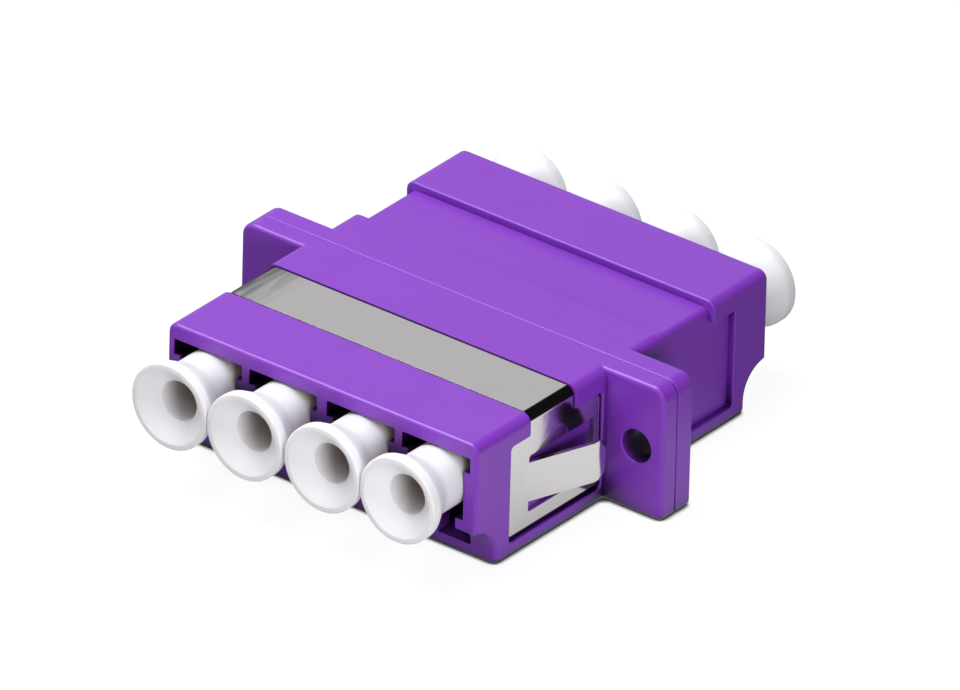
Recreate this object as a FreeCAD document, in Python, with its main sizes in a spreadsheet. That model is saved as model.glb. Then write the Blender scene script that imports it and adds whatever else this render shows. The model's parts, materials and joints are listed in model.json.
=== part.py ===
import FreeCAD, Part
import os
import re
import Sketcher
from FreeCAD import Rotation, Vector

# Four-port fibre adapter: two moulded halves that meet at Y = 0, with two pairs of ports at each end.
# The latch side of the ports faces down and the underside lies on Z = 0.

# Driving dimensions in mm
SIZES = {
    # moulded body and flange
    "body_wide": 25.7,
    "body_high": 9.8,
    "edge_round": 0.7,
    "foot_round": 0.35,
    "end_round": 0.28,
    "flange_long": 35.2,
    "corner_round": 1.0,
    "flange_round": 0.3,
    "seam_edge": 0.1,
    "seam_gap": 0.03,
    "seam_depth": 0.35,
    "hole_inset": 2.2,
    "hole_bore": 2.4,
    "hole_edge": 0.1,
    # front half, measured out from the seam and down from the top
    "front_reach": 15.2,
    "front_flange": 1.5,
    "front_neck_near": 4.7,
    "front_neck_far": 9.45,
    "front_recess_far": 11.5,
    "front_top_sink": 0.38,
    "front_shoulder": 1.65,
    "front_recess_round": 0.3,
    # rear half, measured the same way
    "rear_reach": 15.8,
    "rear_flange": 1.7,
    "rear_neck_near": 4.25,
    "rear_neck_far": 10.0,
    "rear_recess_far": 12.3,
    "rear_top_sink": 0.6,
    "rear_shoulder": 1.65,
    "rear_recess_round": 0.1,
    "rear_body_step": 0.06,
    # recess round both halves
    "recess_start": 0.35,
    "recess_base": 0.95,
    "side_sink": 0.5,
    "neck_round": 0.45,
    "band_edge": 0.14,
    "rim_round": 0.12,
    # finger room below the ports
    "cutback": 2.2,
    "cutback_round": 2.2,
    # ports
    "port_pitch": 6.25,
    "pair_pitch": 12.7,
    "port_drop": 3.45,
    "port_wide": 4.66,
    "port_high": 4.78,
    "slot_wide": 5.64,
    "slot_high": 1.15,
    "port_round": 0.1,
    "catch_gap": 3.4,
    "catch_high": 0.9,
    "catch_wall": 1.2,
    "latch_wide": 2.7,
    "latch_room": 6.0,
    "floor_thick": 0.83,
    "web_thick": 1.6,
    # sleeve holders and split sleeves
    "holder_outer": 2.8,
    "holder_reach": 5.0,
    "entry_bore": 1.4,
    "entry_mouth": 1.9,
    "sleeve_outer": 1.62,
    "sleeve_inner": 1.25,
    "sleeve_long": 6.8,
    "sleeve_slit": 0.3,
    "sleeve_play": 0.05,
    # folded panel clip
    "clip_sheet": 0.3,
    "clip_gap": 0.1,
    "clip_bend": 0.4,
    "clip_corner": 0.4,
    "clip_foot": 0.25,
    "strap_fillet": 0.25,
    "plate_lift": 0.38,
    "front_rail": 2.05,
    "rear_rail": 0.5,
    "top_band": 1.49,
    "base_band": 1.02,
    "window_round": 0.2,
    "tongue_gap": 0.5,
    "tongue_foot_gap": 0.8,
    "tongue_run": 4.8,
    "tongue_flare": 1.73,
    "tongue_tip": 1.15,
    "tongue_corner": 0.45,
    # dust caps, measured out from the seam
    "cap_reach": 19.3,
    "cap_seat": 4.2,
    "cap_gap": 0.08,
    "rim_gap": 0.06,
    "rim_band": 0.75,
    "rim_flare": 2.3,
    "rim_edge": 0.12,
    "bell_round": 0.5,
    "flare_root": 1.0,
    "cap_mouth": 5.4,
    "cap_cone": 1.15,
    "cap_bore": 2.9,
    "cap_bore_long": 6.5,
    "socket_long": 4.0,
    "cap_lead": 0.3,
}

doc = FreeCAD.newDocument("fibre_adapter")
sheet = doc.addObject("Spreadsheet::Sheet", "Sizes")
for row, (alias, size) in enumerate(SIZES.items(), start=1):
    sheet.set(f"A{row}", alias)
    sheet.set(f"B{row}", str(size))
    sheet.setAlias(f"B{row}", alias)
doc.recompute()


def cells(formula):
    """A size formula with each name written as its cell in the sheet."""
    return re.sub(r"[a-z_]+", lambda word: f"Sizes.{word[0]}" if word[0] in SIZES else word[0], formula)


def value(formula):
    """The number that a size formula gives."""
    return float(sheet.evalExpression(cells(formula)))


def bind(item, prop, formula):
    """Tie a property to a size formula."""
    item.setExpression(prop, cells(formula))


# Sketches

def plane(body, role):
    """One of the body's own origin planes."""
    return next(item for item in body.Origin.OriginFeatures if item.Role == role)


def sketch_on(body, name, role, offset="0"):
    """An empty sketch on an origin plane, moved out along its normal."""
    sketch = body.newObject("Sketcher::SketchObject", name)
    sketch.AttachmentSupport = [(plane(body, role), "")]
    sketch.MapMode = "FlatFace"
    bind(sketch, "AttachmentOffset.Base.z", offset)
    return sketch


def constrain(sketch, kind, *where, formula):
    """A dimension in a sketch that follows a size formula."""
    index = sketch.addConstraint(Sketcher.Constraint(kind, *where, value(formula)))
    bind(sketch, f"Constraints[{index}]", formula)


def pin(sketch, edge, end, spot):
    """Hold an edge's end at a place given by two size formulas."""
    constrain(sketch, "DistanceX", -1, 1, edge, end, formula=spot[0])
    constrain(sketch, "DistanceY", -1, 1, edge, end, formula=spot[1])


def point(spot):
    """A place given by two size formulas, as a vector."""
    return Vector(value(spot[0]), value(spot[1]), 0)


def towards(corner, other):
    """Where a corner's round stretch begins on the level or upright edge to another corner."""
    across, up, radius = corner
    way = point(other) - point(corner)
    if abs(way.x) > abs(way.y):
        return (f"{across} {'+' if way.x > 0 else '-'} {radius}", up)
    return (across, f"{up} {'+' if way.y > 0 else '-'} {radius}")


def outline(sketch, corners):
    """A closed outline; a corner with a third value is rounded by that radius."""
    spots, rounds = [], {}
    for index, corner in enumerate(corners):
        if len(corner) == 2:
            spots.append(corner)
            continue
        rounds[len(spots)] = corner
        spots.append(towards(corner, corners[index - 1]))
        spots.append(towards(corner, corners[(index + 1) % len(corners)]))
    edges = []
    for index, spot in enumerate(spots):
        start, stop = point(spot), point(spots[(index + 1) % len(spots)])
        curve = Part.LineSegment(start, stop)
        if index in rounds:
            middle, corner = (start + stop) / 2, point(rounds[index])
            curve = Part.Arc(start, middle + (corner - middle) * (2 ** 0.5 - 1), stop)
        edge = sketch.addGeometry(curve)
        forward = sketch.getPoint(edge, 1).isEqual(start, 1e-6)
        edges.append((edge, 1, 2) if forward else (edge, 2, 1))
    for index, (edge, first, _) in enumerate(edges):
        before, _, last = edges[index - 1]
        sketch.addConstraint(Sketcher.Constraint("Coincident", before, last, edge, first))
        pin(sketch, edge, first, spots[index])
        if index in rounds:
            constrain(sketch, "Radius", edge, formula=rounds[index][2])
    return sketch


def box(left, base, right, top, radius=None, base_radius=None):
    """The corners of a rectangle, rounded if it has a radius, with its own radius at the base if given."""
    if not radius:
        return [(left, base), (right, base), (right, top), (left, top)]
    base_radius = base_radius or radius
    return [(left, base, base_radius), (right, base, base_radius), (right, top, radius), (left, top, radius)]


def circle(sketch, centre, diameter):
    """A circle about a place given by two size formulas."""
    edge = sketch.addGeometry(Part.Circle(point(centre), Vector(0, 0, 1), value(diameter) / 2))
    pin(sketch, edge, 3, centre)
    constrain(sketch, "Diameter", edge, formula=diameter)
    return sketch


def spin_line(sketch, start, stop):
    """The construction line that a turned profile spins about."""
    edge = sketch.addGeometry(Part.LineSegment(point(start), point(stop)), True)
    pin(sketch, edge, 1, start)
    pin(sketch, edge, 2, stop)


# Features

def same(one, other):
    """Two coordinates or volumes that agree."""
    return abs(one - other) < 1e-4


def feature_on(body, kind, name, **settings):
    """A new feature, rebuilt, that must change the body's volume."""
    before = body.Tip.Shape.Volume if body.Tip else 0
    base = body.Tip
    feature = body.newObject("PartDesign::" + kind, name)
    for prop, setting in settings.items():
        if isinstance(setting, str):
            bind(feature, prop, setting)
        elif prop == "Base":
            feature.Base = (base, setting)
        else:
            setattr(feature, prop, setting)
    body.Tip = feature
    doc.recompute()
    if not feature.isValid() or same(feature.Shape.Volume, before):
        raise RuntimeError(f"{body.Label}: {name} did not change the solid")
    return feature


def pad(body, name, sketch, length, **settings):
    """Material added along a sketch's normal."""
    return feature_on(body, "Pad", name, Profile=sketch, Length=length, **settings)


def pocket(body, name, sketch, length, **settings):
    """Material taken away against a sketch's normal."""
    return feature_on(body, "Pocket", name, Profile=sketch, Length=length, **settings)


def turned(body, kind, name, sketch):
    """A profile spun about its construction line."""
    return feature_on(body, kind, name, Profile=sketch, ReferenceAxis=(sketch, ["Axis0"]), Angle=360.0)


def mirrored(body, name, originals):
    """The same features on the other side of the middle plane."""
    middle = (plane(body, "YZ_Plane"), [""])
    return feature_on(body, "Mirrored", name, Originals=originals, MirrorPlane=middle)


def edge_names(body, test):
    """The names of the body's edges whose boxes pass a test."""
    names = [f"Edge{i}" for i, edge in enumerate(body.Tip.Shape.Edges, start=1) if test(edge.BoundBox)]
    if not names:
        raise RuntimeError(f"{body.Label}: no edge passes the test")
    return names


def rounded(body, name, test, radius):
    """Edges rounded by a radius."""
    return feature_on(body, "Fillet", name, Base=edge_names(body, test), Radius=radius)


def bevelled(body, name, test, size):
    """Edges with a flat bevel."""
    return feature_on(body, "Chamfer", name, Base=edge_names(body, test), Size=size)


def at_y(formula):
    """A test for edges that lie in one plane across Y."""
    place = value(formula)
    return lambda b: same(b.YMin, place) and same(b.YMax, place)


def new_body(label, spot=("0", "0", "0"), turn=0):
    """An empty body with its label and place."""
    body = doc.addObject("PartDesign::Body", label)
    body.Label = label
    body.Placement.Rotation = Rotation(Vector(0, 0, 1), turn)
    for letter, formula in zip("xyz", spot):
        bind(body, f"Placement.Base.{letter}", formula)
    return body


# Heights and places that several pieces share
PORT_AXIS = "(body_high - port_drop)"
PORT_TOP = "(body_high - port_drop + port_high / 2)"
PORT_BASE = "(body_high - port_drop - port_high / 2)"
FACE_BASE = "(body_high - port_drop - port_high / 2 - catch_high)"
INNER_PORT = "(pair_pitch - port_pitch) / 2"
PORTS = ["-(pair_pitch + port_pitch) / 2", "-(pair_pitch - port_pitch) / 2",
         "(pair_pitch - port_pitch) / 2", "(pair_pitch + port_pitch) / 2"]


# Housing halves, each drawn with its ports facing -Y

def add_shell(body, side, top):
    """The flange with its fine open seam line, and the outer block with its softened edges."""
    flange = sketch_on(body, side + "_flange_outline", "XZ_Plane", "seam_gap")
    outline(flange, box("-flange_long / 2", "0", "flange_long / 2", "body_high", "corner_round",
                        "foot_round"))
    pad(body, side + "_flange_pad", flange, f"{side}_flange - seam_gap")
    rounded(body, side + "_flange_round", at_y(f"-{side}_flange"), "flange_round")
    rounded(body, side + "_seam_edge", at_y("-seam_gap"), "seam_edge")
    weld = sketch_on(body, side + "_weld_outline", "XZ_Plane")
    outline(weld, box("-(flange_long / 2 - seam_depth)", "seam_depth", "flange_long / 2 - seam_depth",
                      "body_high - seam_depth"))
    pad(body, side + "_weld_face", weld, "seam_gap + seam_edge")
    block = sketch_on(body, side + "_block_outline", "XZ_Plane", "seam_gap + seam_edge")
    outline(block, box("-body_wide / 2", "0", "body_wide / 2", top, "edge_round", "foot_round"))
    pad(body, side + "_block_pad", block, f"{side}_reach - seam_gap - seam_edge")


def cut_finger_room(body, side):
    """The end is set back below the ports, with a wide hollow round, to reach the latches."""
    room = sketch_on(body, side + "_room_outline", "YZ_Plane")
    inner = f"-({side}_reach - cutback)"
    outline(room, [(f"-({side}_reach + 1)", "-1"), (inner, "-1"), (inner, FACE_BASE, "cutback_round"),
                   (f"-({side}_reach + 1)", FACE_BASE)])
    pocket(body, side + "_finger_room", room, "body_wide + 2", Midplane=True)
    face, wall = at_y(f"-{side}_reach"), at_y(inner)
    side_x, low, foot = value("body_wide / 2"), value(FACE_BASE), value("foot_round")
    rounded(body, side + "_end_round", lambda b: face(b) or (wall(b) and b.ZMax < foot + 1e-4)
            or (same(abs(b.XMin), side_x) and same(b.XMin, b.XMax) and b.ZMax < low + 1e-4
                and b.YMax < value(inner) + 1e-4), "end_round")


def cut_recess(body, side, top):
    """A T-shaped recess on each side and a band across the top, where a panel clip sits."""
    near, far = f"-{side}_neck_near", f"-{side}_neck_far"
    start, end = f"-({side}_flange + recess_start)", f"-{side}_recess_far"
    shoulder = f"body_high - {side}_shoulder"
    band = sketch_on(body, side + "_band_outline", "YZ_Plane")
    outline(band, box(far, f"body_high - {side}_top_sink", near, "body_high + 1"))
    pocket(body, side + "_top_band", band, "body_wide + 2", Midplane=True)
    tee = sketch_on(body, side + "_recess_outline", "YZ_Plane", "body_wide / 2")
    turn = f"{side}_recess_round"
    outline(tee, [(far, "body_high + 1"), (far, shoulder), (end, shoulder, turn), (end, "recess_base", turn),
                  (start, "recess_base", turn), (start, shoulder, turn), (near, shoulder),
                  (near, "body_high + 1")])
    recess = pocket(body, side + "_side_recess", tee, "side_sink")
    mirrored(body, side + "_side_recesses", [recess])
    floor_x, floor_z = value("body_wide / 2 - side_sink"), value(f"body_high - {side}_top_sink")
    rounded(body, side + "_neck_round", lambda b: same(abs(b.XMin), floor_x) and same(b.XMin, b.XMax)
            and same(b.ZMin, floor_z) and same(b.ZMax, floor_z), "neck_round")
    rim_x, low, high = value("body_wide / 2"), value("recess_base"), value(shoulder)
    collar, top_z = at_y(far), value(top)
    rounded(body, side + "_collar_edge", lambda b: collar(b) and b.ZMin > high - 1e-4
            and (same(b.ZMin, top_z) or max(abs(b.XMin), abs(b.XMax)) > floor_x + 1e-3), "band_edge")
    rounded(body, side + "_recess_rim", lambda b: same(abs(b.XMin), rim_x) and same(b.XMin, b.XMax)
            and same(b.YMin, b.YMax) and same(b.YMin, value(end)) and b.ZMin > low and b.ZMax < high,
            "rim_round")


def cut_ports(body, side):
    """One port with its latch catches, latch room and sleeve holder, then all four."""
    port = sketch_on(body, side + "_port_outline", "XZ_Plane", f"{side}_reach")
    left, right = f"{INNER_PORT} - port_wide / 2", f"{INNER_PORT} + port_wide / 2"
    slot_left, slot_right = f"{INNER_PORT} - slot_wide / 2", f"{INNER_PORT} + slot_wide / 2"
    slot_base = f"{PORT_TOP} - slot_high"
    outline(port, [(left, PORT_BASE), (right, PORT_BASE), (right, slot_base), (slot_right, slot_base),
                   (slot_right, PORT_TOP, "port_round"), (slot_left, PORT_TOP, "port_round"),
                   (slot_left, slot_base), (left, slot_base)])
    mouth = pocket(body, side + "_port", port, f"{side}_reach - web_thick")

    latch = sketch_on(body, side + "_latch_outline", "XZ_Plane", f"{side}_reach")
    catch_left, catch_right = f"{INNER_PORT} - catch_gap / 2", f"{INNER_PORT} + catch_gap / 2"
    latch_left, latch_right = f"{INNER_PORT} - latch_wide / 2", f"{INNER_PORT} + latch_wide / 2"
    outline(latch, [(catch_left, PORT_BASE), (catch_left, FACE_BASE), (latch_left, FACE_BASE),
                    (latch_left, "floor_thick"), (latch_right, "floor_thick"), (latch_right, FACE_BASE),
                    (catch_right, FACE_BASE), (catch_right, PORT_BASE)])
    slot = pocket(body, side + "_latch_slot", latch, "cutback + catch_wall")

    room = sketch_on(body, side + "_latch_room_outline", "XZ_Plane", f"{side}_reach - cutback - catch_wall")
    outline(room, box(left, "floor_thick", right, PORT_BASE))
    latch_room = pocket(body, side + "_latch_room", room, "latch_room")

    holder = sketch_on(body, side + "_holder_outline", "XZ_Plane", "web_thick")
    circle(holder, (INNER_PORT, PORT_AXIS), "holder_outer")
    tube = pad(body, side + "_sleeve_holder", holder, "holder_reach - web_thick")

    profile = sketch_on(body, side + "_bore_profile", "YZ_Plane", INNER_PORT)
    seat_end = "-(sleeve_long / 2 + sleeve_play)"
    seat_wall = f"{PORT_AXIS} + sleeve_outer / 2 + sleeve_play"
    spin_line(profile, ("0", PORT_AXIS), ("-holder_reach", PORT_AXIS))
    outline(profile, [("0", PORT_AXIS), ("0", seat_wall), (seat_end, seat_wall),
                      (seat_end, f"{PORT_AXIS} + entry_bore / 2"),
                      ("-holder_reach", f"{PORT_AXIS} + entry_mouth / 2"), ("-holder_reach", PORT_AXIS)])
    bore = turned(body, "Groove", side + "_sleeve_bore", profile)

    pitch = doc.addObject("PartDesign::LinearPattern", side + "_port_pitch")
    pitch.Direction = (plane(body, "X_Axis"), [""])
    pitch.Occurrences = 2
    bind(pitch, "Length", "port_pitch")
    other_pair = doc.addObject("PartDesign::Mirrored", side + "_port_pair")
    other_pair.MirrorPlane = (plane(body, "YZ_Plane"), [""])
    feature_on(body, "MultiTransform", side + "_ports", Originals=[mouth, slot, latch_room, tube, bore],
               Transformations=[pitch, other_pair])


def drill_flange(body, side):
    """The two fixing holes."""
    holes = sketch_on(body, side + "_hole_outline", "XZ_Plane")
    for centre in ("-(flange_long / 2 - hole_inset)", "flange_long / 2 - hole_inset"):
        circle(holes, (centre, "body_high / 2"), "hole_bore")
    pocket(body, side + "_flange_holes", holes, f"{side}_flange + 1", Reversed=True)
    face, bore = at_y(f"-{side}_flange"), value("hole_bore")
    rounded(body, side + "_hole_edge", lambda b: face(b) and same(b.XLength, bore) and same(b.ZLength, bore),
            "hole_edge")


def housing_half(side, turn, top):
    """One moulded half."""
    body = new_body(side + "_housing", turn=turn)
    add_shell(body, side, top)
    cut_finger_room(body, side)
    cut_recess(body, side, top)
    cut_ports(body, side)
    drill_flange(body, side)
    return body


# Panel clip, one folded sheet that straddles the front half

def panel_clip():
    """Strap over the top, a plate down each side, and a sprung tongue cut out of each plate."""
    body = new_body("panel_clip")
    top, side = "(body_high - front_top_sink + clip_sheet)", "(body_wide / 2 - side_sink + clip_sheet)"
    base, shoulder = "(recess_base + plate_lift)", "(body_high - front_shoulder - clip_gap)"
    strap = sketch_on(body, "strap_outline", "XZ_Plane", "front_neck_near + clip_gap")
    outline(strap, [(f"-{side}", base), (f"-{side}", top, "(clip_bend + clip_sheet)"),
                    (side, top, "(clip_bend + clip_sheet)"), (side, base), (f"{side} - clip_sheet", base),
                    (f"{side} - clip_sheet", f"{top} - clip_sheet", "clip_bend"),
                    (f"clip_sheet - {side}", f"{top} - clip_sheet", "clip_bend"),
                    (f"clip_sheet - {side}", base)])
    pad(body, "strap", strap, "front_neck_far - front_neck_near - 2 * clip_gap")

    front, rear = "-(front_recess_far - clip_gap)", "-(front_flange + recess_start + clip_gap)"
    sheet_side = sketch_on(body, "plate_outline", "YZ_Plane", side)
    outline(sheet_side, box(front, base, rear, shoulder, "clip_corner", "clip_foot"))
    plate = pad(body, "plate", sheet_side, "clip_sheet", Reversed=True)
    mirrored(body, "plates", [plate])
    level, near, far = (value(place) for place in (
        shoulder, "-(front_neck_near + clip_gap)", "-(front_neck_far - clip_gap)"))
    rounded(body, "strap_fillets", lambda b: same(b.ZMin, level) and same(b.ZMax, level)
            and same(b.YMin, b.YMax) and (same(b.YMin, near) or same(b.YMin, far)), "strap_fillet")

    root, low, high = f"({front} + front_rail)", f"({base} + base_band)", f"({shoulder} - top_band)"
    opening = sketch_on(body, "window_outline", "YZ_Plane", side)
    outline(opening, box(root, low, f"{rear} - rear_rail", high, "window_round"))
    window = pocket(body, "window", opening, "clip_sheet")
    mirrored(body, "windows", [window])

    slant = "sqrt(tongue_run ^ 2 + tongue_flare ^ 2)"
    shift = f"clip_sheet * ({slant} - tongue_run) / tongue_flare"
    bend, end, out = f"{root} + tongue_run", f"{root} + tongue_run + tongue_tip", f"{side} + tongue_flare"
    strip = sketch_on(body, "tongue_outline", "XY_Plane", f"{low} + tongue_foot_gap")
    outline(strip, [(side, f"{root} - clip_sheet"), (side, root), (out, bend), (out, end),
                    (f"{out} - clip_sheet", end), (f"{out} - clip_sheet", f"{bend} + {shift}"),
                    (f"{side} - clip_sheet", f"{root} + {shift}"),
                    (f"{side} - clip_sheet", f"{root} - clip_sheet")])
    tongue = pad(body, "tongue", strip, f"{high} - {low} - tongue_gap - tongue_foot_gap")
    mirrored(body, "tongues", [tongue])
    tip = value(end)
    bevelled(body, "tongue_corners", lambda b: same(b.YMin, tip) and same(b.YMax, tip) and b.XLength > 0.1,
             "tongue_corner")
    return body


def split_sleeve(number, across):
    """Ceramic sleeve slit along its length, which lines up two ferrules."""
    body = new_body(f"split_sleeve_{number}", (across, "0", PORT_AXIS))
    ring = sketch_on(body, f"ring_{number}", "XZ_Plane")
    circle(ring, ("0", "0"), "sleeve_outer")
    circle(ring, ("0", "0"), "sleeve_inner")
    pad(body, f"tube_{number}", ring, "sleeve_long", Midplane=True)
    slit = sketch_on(body, f"slit_{number}", "XZ_Plane")
    outline(slit, box("-sleeve_slit / 2", "0", "sleeve_slit / 2", "sleeve_outer"))
    pocket(body, f"slit_cut_{number}", slit, "sleeve_long + 1", Midplane=True)
    return body


def dust_cap(side, number, across, turn):
    """Hollow plug with a flared rim to pull it by; its inner end goes over the sleeve holder."""
    body = new_body(f"{side}_cap_{number}", (across, "0", PORT_AXIS), turn)
    name = f"{side}_{number}"
    shaft, rim = "port_wide / 2 - cap_gap", "(port_pitch - rim_gap) / 2"
    socket, socket_end = "holder_outer / 2 + cap_gap", "-(cap_seat + socket_long)"
    bore_end = "-(cap_reach - cap_bore_long)"
    profile = sketch_on(body, "cap_profile_" + name, "YZ_Plane")
    spin_line(profile, (bore_end, "0"), (socket_end, "0"))
    outline(profile, [
        (socket_end, "0"), (socket_end, socket), ("-cap_seat", socket),
        ("-cap_seat", f"{shaft} - cap_lead"), ("-(cap_seat + cap_lead)", shaft),
        ("-(cap_reach - rim_flare)", shaft), ("-(cap_reach - rim_band)", rim), ("-cap_reach", rim),
        ("-cap_reach", "cap_mouth / 2"), ("-(cap_reach - cap_cone)", "cap_bore / 2"),
        (bore_end, "cap_bore / 2"), (bore_end, "0")])
    turned(body, "Revolution", "cap_turned_" + name, profile)
    rounded(body, "bell_" + name, at_y("-(cap_reach - rim_band)"), "bell_round")
    rounded(body, "flare_" + name, at_y("-(cap_reach - rim_flare)"), "flare_root")
    rim_face, mouth = at_y("-cap_reach"), value("cap_mouth")
    rounded(body, "rim_edge_" + name, lambda b: rim_face(b) and b.XLength > mouth + 0.1, "rim_edge")
    return body


pieces = [housing_half("front", 0, "body_high"), housing_half("rear", 180, "body_high - rear_body_step"),
          panel_clip()]
for number, across in enumerate(PORTS, start=1):
    pieces.append(split_sleeve(number, across))
    pieces.append(dust_cap("front", number, across, 0))
    pieces.append(dust_cap("rear", number, across, 180))
doc.recompute()

# Every object and solid is sound before any file is written
for item in doc.Objects:
    if {"Invalid", "Error"} & set(item.State):
        raise RuntimeError(f"{item.Label} failed to build")
for piece in pieces:
    if piece.Shape.isNull() or not piece.Shape.isValid() or len(piece.Shape.Solids) != 1:
        raise RuntimeError(f"{piece.Label} is not one valid solid")

os.makedirs("parts", exist_ok=True)
for piece in pieces:
    piece.Shape.exportStep(f"parts/{piece.Label}.step")
    print(piece.Label, round(piece.Shape.Volume, 2))
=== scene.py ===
import bpy
import json
import math
from mathutils import Matrix, Vector

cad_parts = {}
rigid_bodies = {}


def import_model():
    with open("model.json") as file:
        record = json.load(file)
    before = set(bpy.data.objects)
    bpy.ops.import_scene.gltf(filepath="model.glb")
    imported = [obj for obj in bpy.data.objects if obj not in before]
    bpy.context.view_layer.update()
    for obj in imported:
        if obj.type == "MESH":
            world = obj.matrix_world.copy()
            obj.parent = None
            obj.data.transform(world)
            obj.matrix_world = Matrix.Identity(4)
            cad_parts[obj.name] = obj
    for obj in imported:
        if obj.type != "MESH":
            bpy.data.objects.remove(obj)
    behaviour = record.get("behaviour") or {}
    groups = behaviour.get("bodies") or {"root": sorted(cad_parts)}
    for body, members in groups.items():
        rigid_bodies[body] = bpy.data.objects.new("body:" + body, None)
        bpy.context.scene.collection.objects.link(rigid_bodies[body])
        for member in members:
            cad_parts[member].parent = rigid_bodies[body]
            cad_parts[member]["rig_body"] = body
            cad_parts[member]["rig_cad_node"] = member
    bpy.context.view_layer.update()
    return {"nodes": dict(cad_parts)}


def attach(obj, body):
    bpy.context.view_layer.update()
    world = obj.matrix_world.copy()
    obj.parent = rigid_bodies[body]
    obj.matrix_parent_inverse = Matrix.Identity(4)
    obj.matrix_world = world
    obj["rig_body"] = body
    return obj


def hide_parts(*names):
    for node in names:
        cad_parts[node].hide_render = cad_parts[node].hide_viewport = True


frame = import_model()


# Camera
# The adapter is seen from above its near right corner, through a long lens that stands well back,
# so that its long edges run almost parallel.
AZIMUTH, ELEVATION, ROLL = (math.radians(angle) for angle in (37.3, 29.46, 1.546))
CAMERA_DISTANCE = 2.0
LENS = 1145
AIM = Vector((0.001243, 0, 0.006657))

back = Vector((math.sin(AZIMUTH) * math.cos(ELEVATION),
               -math.cos(AZIMUTH) * math.cos(ELEVATION), math.sin(ELEVATION)))
right = Vector((math.cos(AZIMUTH), math.sin(AZIMUTH), 0))
turn = Matrix.Rotation(ROLL, 4, back)
axes = Matrix((turn @ right, turn @ back.cross(right), back)).transposed()
camera_data = bpy.data.cameras.new("camera")
camera_data.sensor_width = 36
camera_data.lens = LENS
camera_data.clip_end = 20
camera = bpy.data.objects.new("camera", camera_data)
camera.matrix_world = Matrix.Translation(AIM + back * CAMERA_DISTANCE) @ axes.to_4x4()
bpy.context.scene.collection.objects.link(camera)
bpy.context.scene.camera = camera
bpy.context.scene.view_settings.view_transform = "Standard"


# Studio
# A white paper sweep under an overhead softbox, with a gridded one at the front right and a weak one
# behind the rear caps. A grey flag at the back right shows only in reflections.

def linear(colour):
    """An sRGB hex colour as linear light."""
    parts = [int(colour[i:i + 2], 16) / 255 for i in (1, 3, 5)]
    return tuple(c / 12.92 if c <= 0.04045 else ((c + 0.055) / 1.055) ** 2.4 for c in parts) + (1.0,)


def add_node(tree, kind, links=(), **settings):
    """A shader node with its settings, and its inputs linked from other nodes' outputs."""
    node = tree.nodes.new("ShaderNode" + kind)
    for name, setting in settings.items():
        if hasattr(node, name):
            setattr(node, name, setting)
        else:
            node.inputs[name.replace("_", " ")].default_value = setting
    for socket, source in links:
        tree.links.new(source, node.inputs[socket])
    return node


def new_material(name):
    """An empty node material and its node tree."""
    material = bpy.data.materials.new(name)
    material.use_nodes = True
    material.node_tree.nodes.clear()
    return material, material.node_tree


surround = bpy.data.worlds.new("white_surround")
bpy.context.scene.world = surround
surround.use_nodes = True
tree = surround.node_tree
tree.nodes.clear()
FLAG_TOWARDS = Vector((0.49, 0.69, 0.53)).normalized()
FLAG_OUTER, FLAG_INNER = math.cos(math.radians(46)), math.cos(math.radians(41))
path = add_node(tree, "LightPath")
towards = add_node(tree, "TexCoord").outputs["Generated"]
facing = add_node(tree, "VectorMath", [(0, towards)], operation="DOT_PRODUCT")
facing.inputs[1].default_value = FLAG_TOWARDS
room = add_node(tree, "MapRange", [("Value", facing.outputs["Value"])], interpolation_type="SMOOTHSTEP",
                From_Min=-0.1, From_Max=0.8, To_Min=0.28, To_Max=0.09)
sweep = add_node(tree, "MapRange", [("Value", facing.outputs["Value"])], From_Min=-0.2, From_Max=0.68,
                 To_Min=0.88, To_Max=0.54)
flagged = add_node(tree, "MapRange", [("Value", facing.outputs["Value"])], interpolation_type="SMOOTHSTEP",
                   From_Min=FLAG_OUTER, From_Max=FLAG_INNER, To_Min=1.0, To_Max=0.3)
shown = add_node(tree, "Math", [(0, sweep.outputs[0]), (1, flagged.outputs[0])], operation="MULTIPLY")
ambient = add_node(tree, "Background", [("Strength", room.outputs[0])], Color=linear("#FFFFFF"))
mirrored = add_node(tree, "Background", [("Strength", shown.outputs[0])], Color=linear("#FFFFFF"))
white = add_node(tree, "Background", Color=linear("#FFFFFF"), Strength=1.0)
lit = add_node(tree, "MixShader", [(0, path.outputs["Is Glossy Ray"]), (1, ambient.outputs[0]),
                                   (2, mirrored.outputs[0])])
seen = add_node(tree, "Math", [(0, path.outputs["Is Camera Ray"]), (1, path.outputs["Is Transmission Ray"])],
                operation="MAXIMUM")
sky = add_node(tree, "MixShader", [(0, seen.outputs[0]), (1, lit.outputs[0]), (2, white.outputs[0])])
add_node(tree, "OutputWorld", [("Surface", sky.outputs[0])])


def softbox(name, aim, towards, distance, size, power):
    """A square softbox that faces a point of the adapter from a direction."""
    place = Vector(aim) + Vector(towards).normalized() * distance
    bpy.ops.object.light_add(type="AREA", location=place)
    light = bpy.context.object
    light.name = name
    light.rotation_euler = Vector(towards).to_track_quat("Z", "Y").to_euler()
    light.data.size = size
    light.data.energy = power
    light.visible_camera = False
    return light


softbox("overhead_softbox", (0, 0, 0), (-0.3, -0.12, 0.87), 0.2, 0.14, 0.43)
gridded = softbox("gridded_softbox", (0.013, -0.008, 0.004), (1.0, -0.68, 0.3), 0.12, 0.043, 0.0078)
gridded.data.spread = math.radians(50)
behind_caps = softbox("rear_softbox", (0, 0.012, 0.004), (-0.25, 1.0, 0.02), 0.25, 0.1, 0.2)
for light in (gridded, behind_caps):
    light.visible_glossy = False

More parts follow.
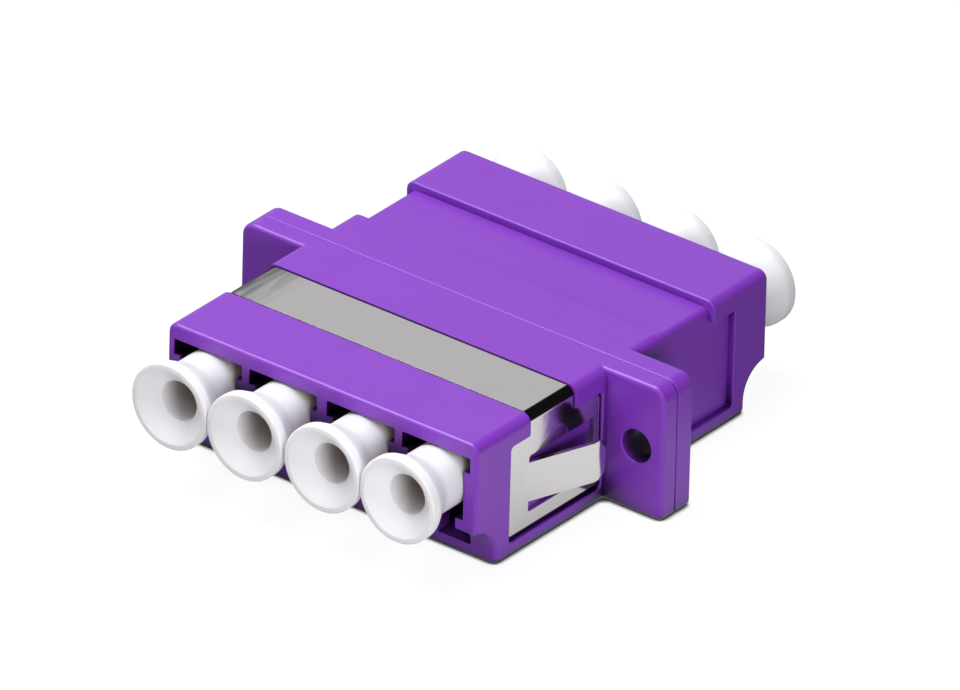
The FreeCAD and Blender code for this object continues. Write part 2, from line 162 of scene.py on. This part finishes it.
bpy.ops.object.select_all(action="DESELECT")
SWEEP_WIDE = 1.6
SWEEP_DROP = 0.00001
bpy.ops.mesh.primitive_plane_add(size=SWEEP_WIDE, location=(0, 0, -SWEEP_DROP))
floor = bpy.context.object
floor.name = "white_floor"
bpy.ops.object.transform_apply(location=True)
paper, tree = new_material("white_paper_sweep")
path = add_node(tree, "LightPath")
spot = add_node(tree, "TexCoord").outputs["Object"]


def falls_off(towards, near, far, low, high):
    """A value that runs from low to high between two distances along a direction on the paper."""
    along = add_node(tree, "VectorMath", [(0, spot)], operation="DOT_PRODUCT")
    along.inputs[1].default_value = towards
    return add_node(tree, "MapRange", [("Value", along.outputs["Value"])], interpolation_type="SMOOTHSTEP",
                    From_Min=near, From_Max=far, To_Min=low, To_Max=high).outputs[0]


# Painted shade: for bounced light the paper is darker towards the back right, where the adapter's shadow
# falls.
painted_shade_behind = falls_off((0.7, 0.7, 0), -0.01, 0.04, 0.32, 0.15)
tone = add_node(tree, "CombineColor", [("Red", painted_shade_behind), ("Green", painted_shade_behind), ("Blue", painted_shade_behind)])
matt = add_node(tree, "BsdfDiffuse", [("Color", tone.outputs[0])])
# Painted reflection: to glossy rays the paper glows brightest at the front right of the adapter, dimmer
# behind and to the left.
painted_reflected_glow = add_node(tree, "Math", [(0, falls_off((0, 1, 0), 0.006, 0.016, 0.86, 0.22)),
                                 (1, falls_off((1, 0, 0), 0.004, 0.022, 0.2, 0.86))], operation="MINIMUM")
mirrored = add_node(tree, "Emission", [("Strength", painted_reflected_glow.outputs[0])], Color=linear("#FFFFFF"))
# Painted contact shadow: to the camera the paper's glow fades to nothing where the adapter touches it, by
# ambient occlusion.
CONTACT_SHADOW_REACH = 0.0007
contact_shadow_ao = add_node(tree, "AmbientOcclusion", Distance=CONTACT_SHADOW_REACH, samples=12)
painted_contact_shadow = add_node(tree, "MapRange", [("Value", contact_shadow_ao.outputs["AO"])], interpolation_type="SMOOTHSTEP",
                From_Min=0.4, From_Max=0.78, To_Min=0.0, To_Max=0.91)
glow = add_node(tree, "Emission", [("Strength", painted_contact_shadow.outputs[0])], Color=linear("#FFFFFF"))
soft = add_node(tree, "BsdfDiffuse", Color=linear("#777779"))
seen = add_node(tree, "AddShader", [(0, soft.outputs[0]), (1, glow.outputs[0])])
bounce = add_node(tree, "MixShader", [(0, path.outputs["Is Glossy Ray"]), (1, matt.outputs[0]),
                                      (2, mirrored.outputs[0])])
sheet = add_node(tree, "MixShader", [(0, path.outputs["Is Camera Ray"]), (1, bounce.outputs[0]),
                                     (2, seen.outputs[0])])
add_node(tree, "OutputMaterial", [("Surface", sheet.outputs[0])])
paper.cycles.emission_sampling = "NONE"
floor.data.materials.append(paper)


# Moulded halves
# Violet PBT, injection moulded in polished tools and welded together at the flange. The eye sees an
# even, dense violet with a satin gloss. Painted shade darkens the colour inside corners and ports,
# where less light falls.
pbt, tree = new_material("violet_moulded_pbt")
spot = add_node(tree, "TexCoord").outputs["Object"]
FLOW_CLOUD = 0.0035
MOULD_GRAIN = 0.00009
PIT_SHADE_REACH = 0.004
CORNER_SHADE_REACH = 0.0004
flow = add_node(tree, "TexNoise", [("Vector", spot)], Scale=1 / FLOW_CLOUD, Detail=3.0)
violet = add_node(tree, "Mix", [("Factor", flow.outputs["Fac"])], data_type="RGBA")
violet.inputs[6].default_value = linear("#7F33BC")
violet.inputs[7].default_value = linear("#863AC3")
# Painted shade: the violet darkens towards near black in ports, pits and tight corners, by ambient
# occlusion.
pit_shade_ao = add_node(tree, "AmbientOcclusion", Distance=PIT_SHADE_REACH, samples=12)
painted_pit_shade = add_node(tree, "MapRange", [("Value", pit_shade_ao.outputs["AO"])], interpolation_type="SMOOTHSTEP",
                From_Min=0.32, From_Max=0.62)
corner_shade_ao = add_node(tree, "AmbientOcclusion", Distance=CORNER_SHADE_REACH, samples=8)
painted_corner_shade = add_node(tree, "MapRange", [("Value", corner_shade_ao.outputs["AO"])], From_Min=0.3, From_Max=0.7,
                 To_Min=0.5, To_Max=1.0)
painted_shade_mix = add_node(tree, "Math", [(0, painted_pit_shade.outputs[0]), (1, painted_corner_shade.outputs[0])], operation="MULTIPLY")
colour = add_node(tree, "Mix", [("Factor", painted_shade_mix.outputs[0]), (7, violet.outputs[2])], data_type="RGBA")
colour.inputs[6].default_value = linear("#12021F")
grain = add_node(tree, "TexNoise", [("Vector", spot)], Scale=1 / MOULD_GRAIN, Detail=2.0)
relief = add_node(tree, "Bump", [("Height", grain.outputs["Fac"])], Strength=0.05, Distance=0.00002)
# A painted highlight: a thin pale line glows along the top of the seam, where the light catches it.
SEAM_HIGHLIGHT_WIDE = 0.00011
SEAM_HIGHLIGHT_FOOT = 0.0096
place = add_node(tree, "SeparateXYZ", [(0, spot)])
in_seam = add_node(tree, "Math", [(0, place.outputs["Y"])], operation="COMPARE")
in_seam.inputs[1].default_value = 0
in_seam.inputs[2].default_value = SEAM_HIGHLIGHT_WIDE / 2
on_top = add_node(tree, "Math", [(0, place.outputs["Z"])], operation="GREATER_THAN")
on_top.inputs[1].default_value = SEAM_HIGHLIGHT_FOOT
painted_seam_highlight = add_node(tree, "Math", [(0, in_seam.outputs[0]), (1, on_top.outputs[0])], operation="MULTIPLY")
skin = add_node(tree, "BsdfPrincipled", [("Base Color", colour.outputs[2]), ("Normal", relief.outputs[0]),
                                         ("Emission Strength", painted_seam_highlight.outputs[0])], Roughness=0.34, IOR=1.55)
skin.inputs["Emission Color"].default_value = linear("#6E3EA8")
pbt.cycles.emission_sampling = "NONE"
add_node(tree, "OutputMaterial", [("Surface", skin.outputs[0])])
for name in ("front_housing", "rear_housing"):
    frame["nodes"][name].data.materials.clear()
    frame["nodes"][name].data.materials.append(pbt)


# Panel clip
# One strip of bright rolled spring steel, cut and folded in a press, which straddles the front half and
# snaps it into a panel. Its cut edges are tumbled, so each one shows as a thin bright line.
EDGE_ROUND = 0.00007
MERGE_WITHIN = 0.000001
clip = frame["nodes"]["panel_clip"].copy()
clip.data = clip.data.copy()
clip.name = "folded_clip"
clip.parent = None
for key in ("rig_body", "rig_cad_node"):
    del clip[key]
bpy.context.scene.collection.objects.link(clip)
bpy.ops.object.select_all(action="DESELECT")
clip.select_set(True)
bpy.context.view_layer.objects.active = clip
bpy.ops.object.mode_set(mode="EDIT")
bpy.ops.mesh.select_all(action="SELECT")
bpy.ops.mesh.remove_doubles(threshold=MERGE_WITHIN)
bpy.ops.mesh.dissolve_limited(angle_limit=math.radians(0.5))
bpy.ops.object.mode_set(mode="OBJECT")
tumbled = clip.modifiers.new("tumbled_edges", "BEVEL")
tumbled.limit_method = "ANGLE"
tumbled.angle_limit = math.radians(40)
tumbled.width = EDGE_ROUND
tumbled.segments = 2
bpy.ops.object.modifier_apply(modifier="tumbled_edges")
bpy.ops.object.shade_smooth_by_angle(angle=math.radians(19))
flat_faces = clip.modifiers.new("flat_faces", "WEIGHTED_NORMAL")
flat_faces.keep_sharp = True
flat_faces.weight = 100
bpy.ops.object.modifier_apply(modifier="flat_faces")

steel, tree = new_material("rolled_spring_steel")
coordinates = add_node(tree, "TexCoord")
spot = coordinates.outputs["Object"]
ROLL_LINE = 0.00012
rolling = add_node(tree, "Mapping", [("Vector", spot)], Scale=(0.02, 1.0, 0.02))
lines = add_node(tree, "TexNoise", [("Vector", rolling.outputs[0])], Scale=1 / ROLL_LINE, Detail=3.0)
sheen = add_node(tree, "MapRange", [("Value", lines.outputs["Fac"])], To_Min=0.07, To_Max=0.17)
relief = add_node(tree, "Bump", [("Height", lines.outputs["Fac"])], Strength=0.05, Distance=0.00002)
# The sheet keeps faint dents from the press, and the strap turns darker in streaks towards its left fold.
SHEET_DENT = 0.0016
dents = add_node(tree, "TexNoise", [("Vector", spot)], Scale=1 / SHEET_DENT, Detail=2.5)
waved = add_node(tree, "Bump", [("Height", dents.outputs["Fac"]), ("Normal", relief.outputs[0])],
                 Strength=0.5, Distance=0.00002)
STREAK_SIZE = 0.00035
STREAKS_FROM, STREAKS_TO = -0.0128, -0.0088
place = add_node(tree, "SeparateXYZ", [(0, spot)])
near_fold = add_node(tree, "MapRange", [("Value", place.outputs["X"])], interpolation_type="SMOOTHSTEP",
                     From_Min=STREAKS_FROM, From_Max=STREAKS_TO, To_Min=1.0, To_Max=0.0)
across = add_node(tree, "Mapping", [("Vector", spot)], Scale=(1.0, 0.12, 0.12))
streaks = add_node(tree, "TexNoise", [("Vector", across.outputs[0])], Scale=1 / STREAK_SIZE, Detail=1.0)
streaked = add_node(tree, "MapRange", [("Value", streaks.outputs["Fac"])], From_Min=0.35, From_Max=0.65,
                   To_Min=0.35, To_Max=1.0)
STRAP_FROM, STRAP_TO = 0.0087, 0.009
on_strap = add_node(tree, "MapRange", [("Value", place.outputs["Z"])], From_Min=STRAP_FROM,
                    From_Max=STRAP_TO)
ends = add_node(tree, "Math", [(0, near_fold.outputs[0]), (1, on_strap.outputs[0])], operation="MULTIPLY")
darker_streaks = add_node(tree, "Math", [(0, ends.outputs[0]), (1, streaked.outputs[0])], operation="MULTIPLY")
bare = add_node(tree, "Mix", [("Factor", darker_streaks.outputs[0])], data_type="RGBA")
bare.inputs[6].default_value = linear("#DEDBDC")
bare.inputs[7].default_value = linear("#6E6D72")
# The folds look dark in the photograph, from what they mirror, and a dark colour stands in for that.
leaning = add_node(tree, "SeparateXYZ", [(0, coordinates.outputs["Normal"])])
sideways = add_node(tree, "Math", [(0, leaning.outputs["X"])], operation="ABSOLUTE")
slope = add_node(tree, "Math", [(0, sideways.outputs[0]), (1, leaning.outputs["Z"])], operation="MULTIPLY")
rounded = add_node(tree, "MapRange", [("Value", slope.outputs[0])], From_Min=0.12, From_Max=0.2)
fold = add_node(tree, "Math", [(0, rounded.outputs[0]), (1, on_strap.outputs[0])], operation="MULTIPLY")
darkened = add_node(tree, "Mix", [("Factor", fold.outputs[0]), (6, bare.outputs[2])], data_type="RGBA")
darkened.inputs[7].default_value = linear("#2E2E31")
skin = add_node(tree, "BsdfPrincipled", [("Base Color", darkened.outputs[2]),
                                         ("Roughness", sheen.outputs[0]),
                                         ("Normal", waved.outputs[0])], Metallic=1.0)
add_node(tree, "OutputMaterial", [("Surface", skin.outputs[0])])
clip.data.materials.clear()
clip.data.materials.append(steel)
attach(clip, "adapter")
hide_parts("panel_clip")


# Split sleeves
# Zirconia tubes, ground smooth and slit along their length so that they grip the ferrules. They are
# hard and ivory white, with a wet-looking gloss.
zirconia, tree = new_material("ground_zirconia")
spot = add_node(tree, "TexCoord").outputs["Object"]
GRINDING_MARK = 0.00004
turned = add_node(tree, "Mapping", [("Vector", spot)], Scale=(0.05, 1.0, 0.05))
marks = add_node(tree, "TexNoise", [("Vector", turned.outputs[0])], Scale=1 / GRINDING_MARK)
sheen = add_node(tree, "MapRange", [("Value", marks.outputs["Fac"])], To_Min=0.12, To_Max=0.22)
skin = add_node(tree, "BsdfPrincipled", [("Roughness", sheen.outputs[0])], IOR=2.1)
skin.inputs["Base Color"].default_value = linear("#F2F0EA")
add_node(tree, "OutputMaterial", [("Surface", skin.outputs[0])])
for number in range(1, 5):
    sleeve = frame["nodes"][f"split_sleeve_{number}"]
    sleeve.data.materials.clear()
    sleeve.data.materials.append(zirconia)


# Dust caps
# Soft white polyethylene, moulded in one shot with a flared rim to pull them by. Light soaks a little way
# in, which blurs the shading. A faint painted glow, strongest at the thin rim, stands in for light let
# through, and painted shade turns the blind bore a warm grey.
polyethylene, tree = new_material("white_moulded_polyethylene")
spot = add_node(tree, "TexCoord").outputs["Object"]
WAXY_CLOUD = 0.0012
cloud = add_node(tree, "TexNoise", [("Vector", spot)], Scale=1 / WAXY_CLOUD, Detail=2.0)
sheen = add_node(tree, "MapRange", [("Value", cloud.outputs["Fac"])], To_Min=0.36, To_Max=0.46)
# Painted shade: the blind bore and other hollows turn warm grey, by ambient occlusion.
BORE_SHADE_REACH = 0.004
bore_shade_ao = add_node(tree, "AmbientOcclusion", Distance=BORE_SHADE_REACH, samples=8)
painted_shade_mix = add_node(tree, "MapRange", [("Value", bore_shade_ao.outputs["AO"])], From_Min=0.03, From_Max=0.35)
colour = add_node(tree, "Mix", [("Factor", painted_shade_mix.outputs[0])], data_type="RGBA")
colour.inputs[6].default_value = linear("#AC9C8E")
colour.inputs[7].default_value = linear("#F3F2F7")
# Painted glow: the caps give off a faint light of their own colour, strongest at the thin rim.
GLOW_FROM, GLOW_TO = 0.0165, 0.0185
place = add_node(tree, "SeparateXYZ", [(0, spot)])
reach = add_node(tree, "Math", [(0, place.outputs["Y"])], operation="ABSOLUTE")
painted_glow = add_node(tree, "MapRange", [("Value", reach.outputs[0])], From_Min=GLOW_FROM, From_Max=GLOW_TO,
                   To_Min=0.025, To_Max=0.08)
skin = add_node(tree, "BsdfPrincipled", [("Base Color", colour.outputs[2]), ("Roughness", sheen.outputs[0]),
                                         ("Emission Color", colour.outputs[2]),
                                         ("Emission Strength", painted_glow.outputs[0])], IOR=1.51)
polyethylene.cycles.emission_sampling = "NONE"
skin.inputs["Subsurface Weight"].default_value = 0.6
skin.inputs["Subsurface Radius"].default_value = (1.0, 0.97, 0.94)
skin.inputs["Subsurface Scale"].default_value = 0.0009
add_node(tree, "OutputMaterial", [("Surface", skin.outputs[0])])
for side in ("front", "rear"):
    for number in range(1, 5):
        cap = frame["nodes"][f"{side}_cap_{number}"]
        cap.data.materials.clear()
        cap.data.materials.append(polyethylene)
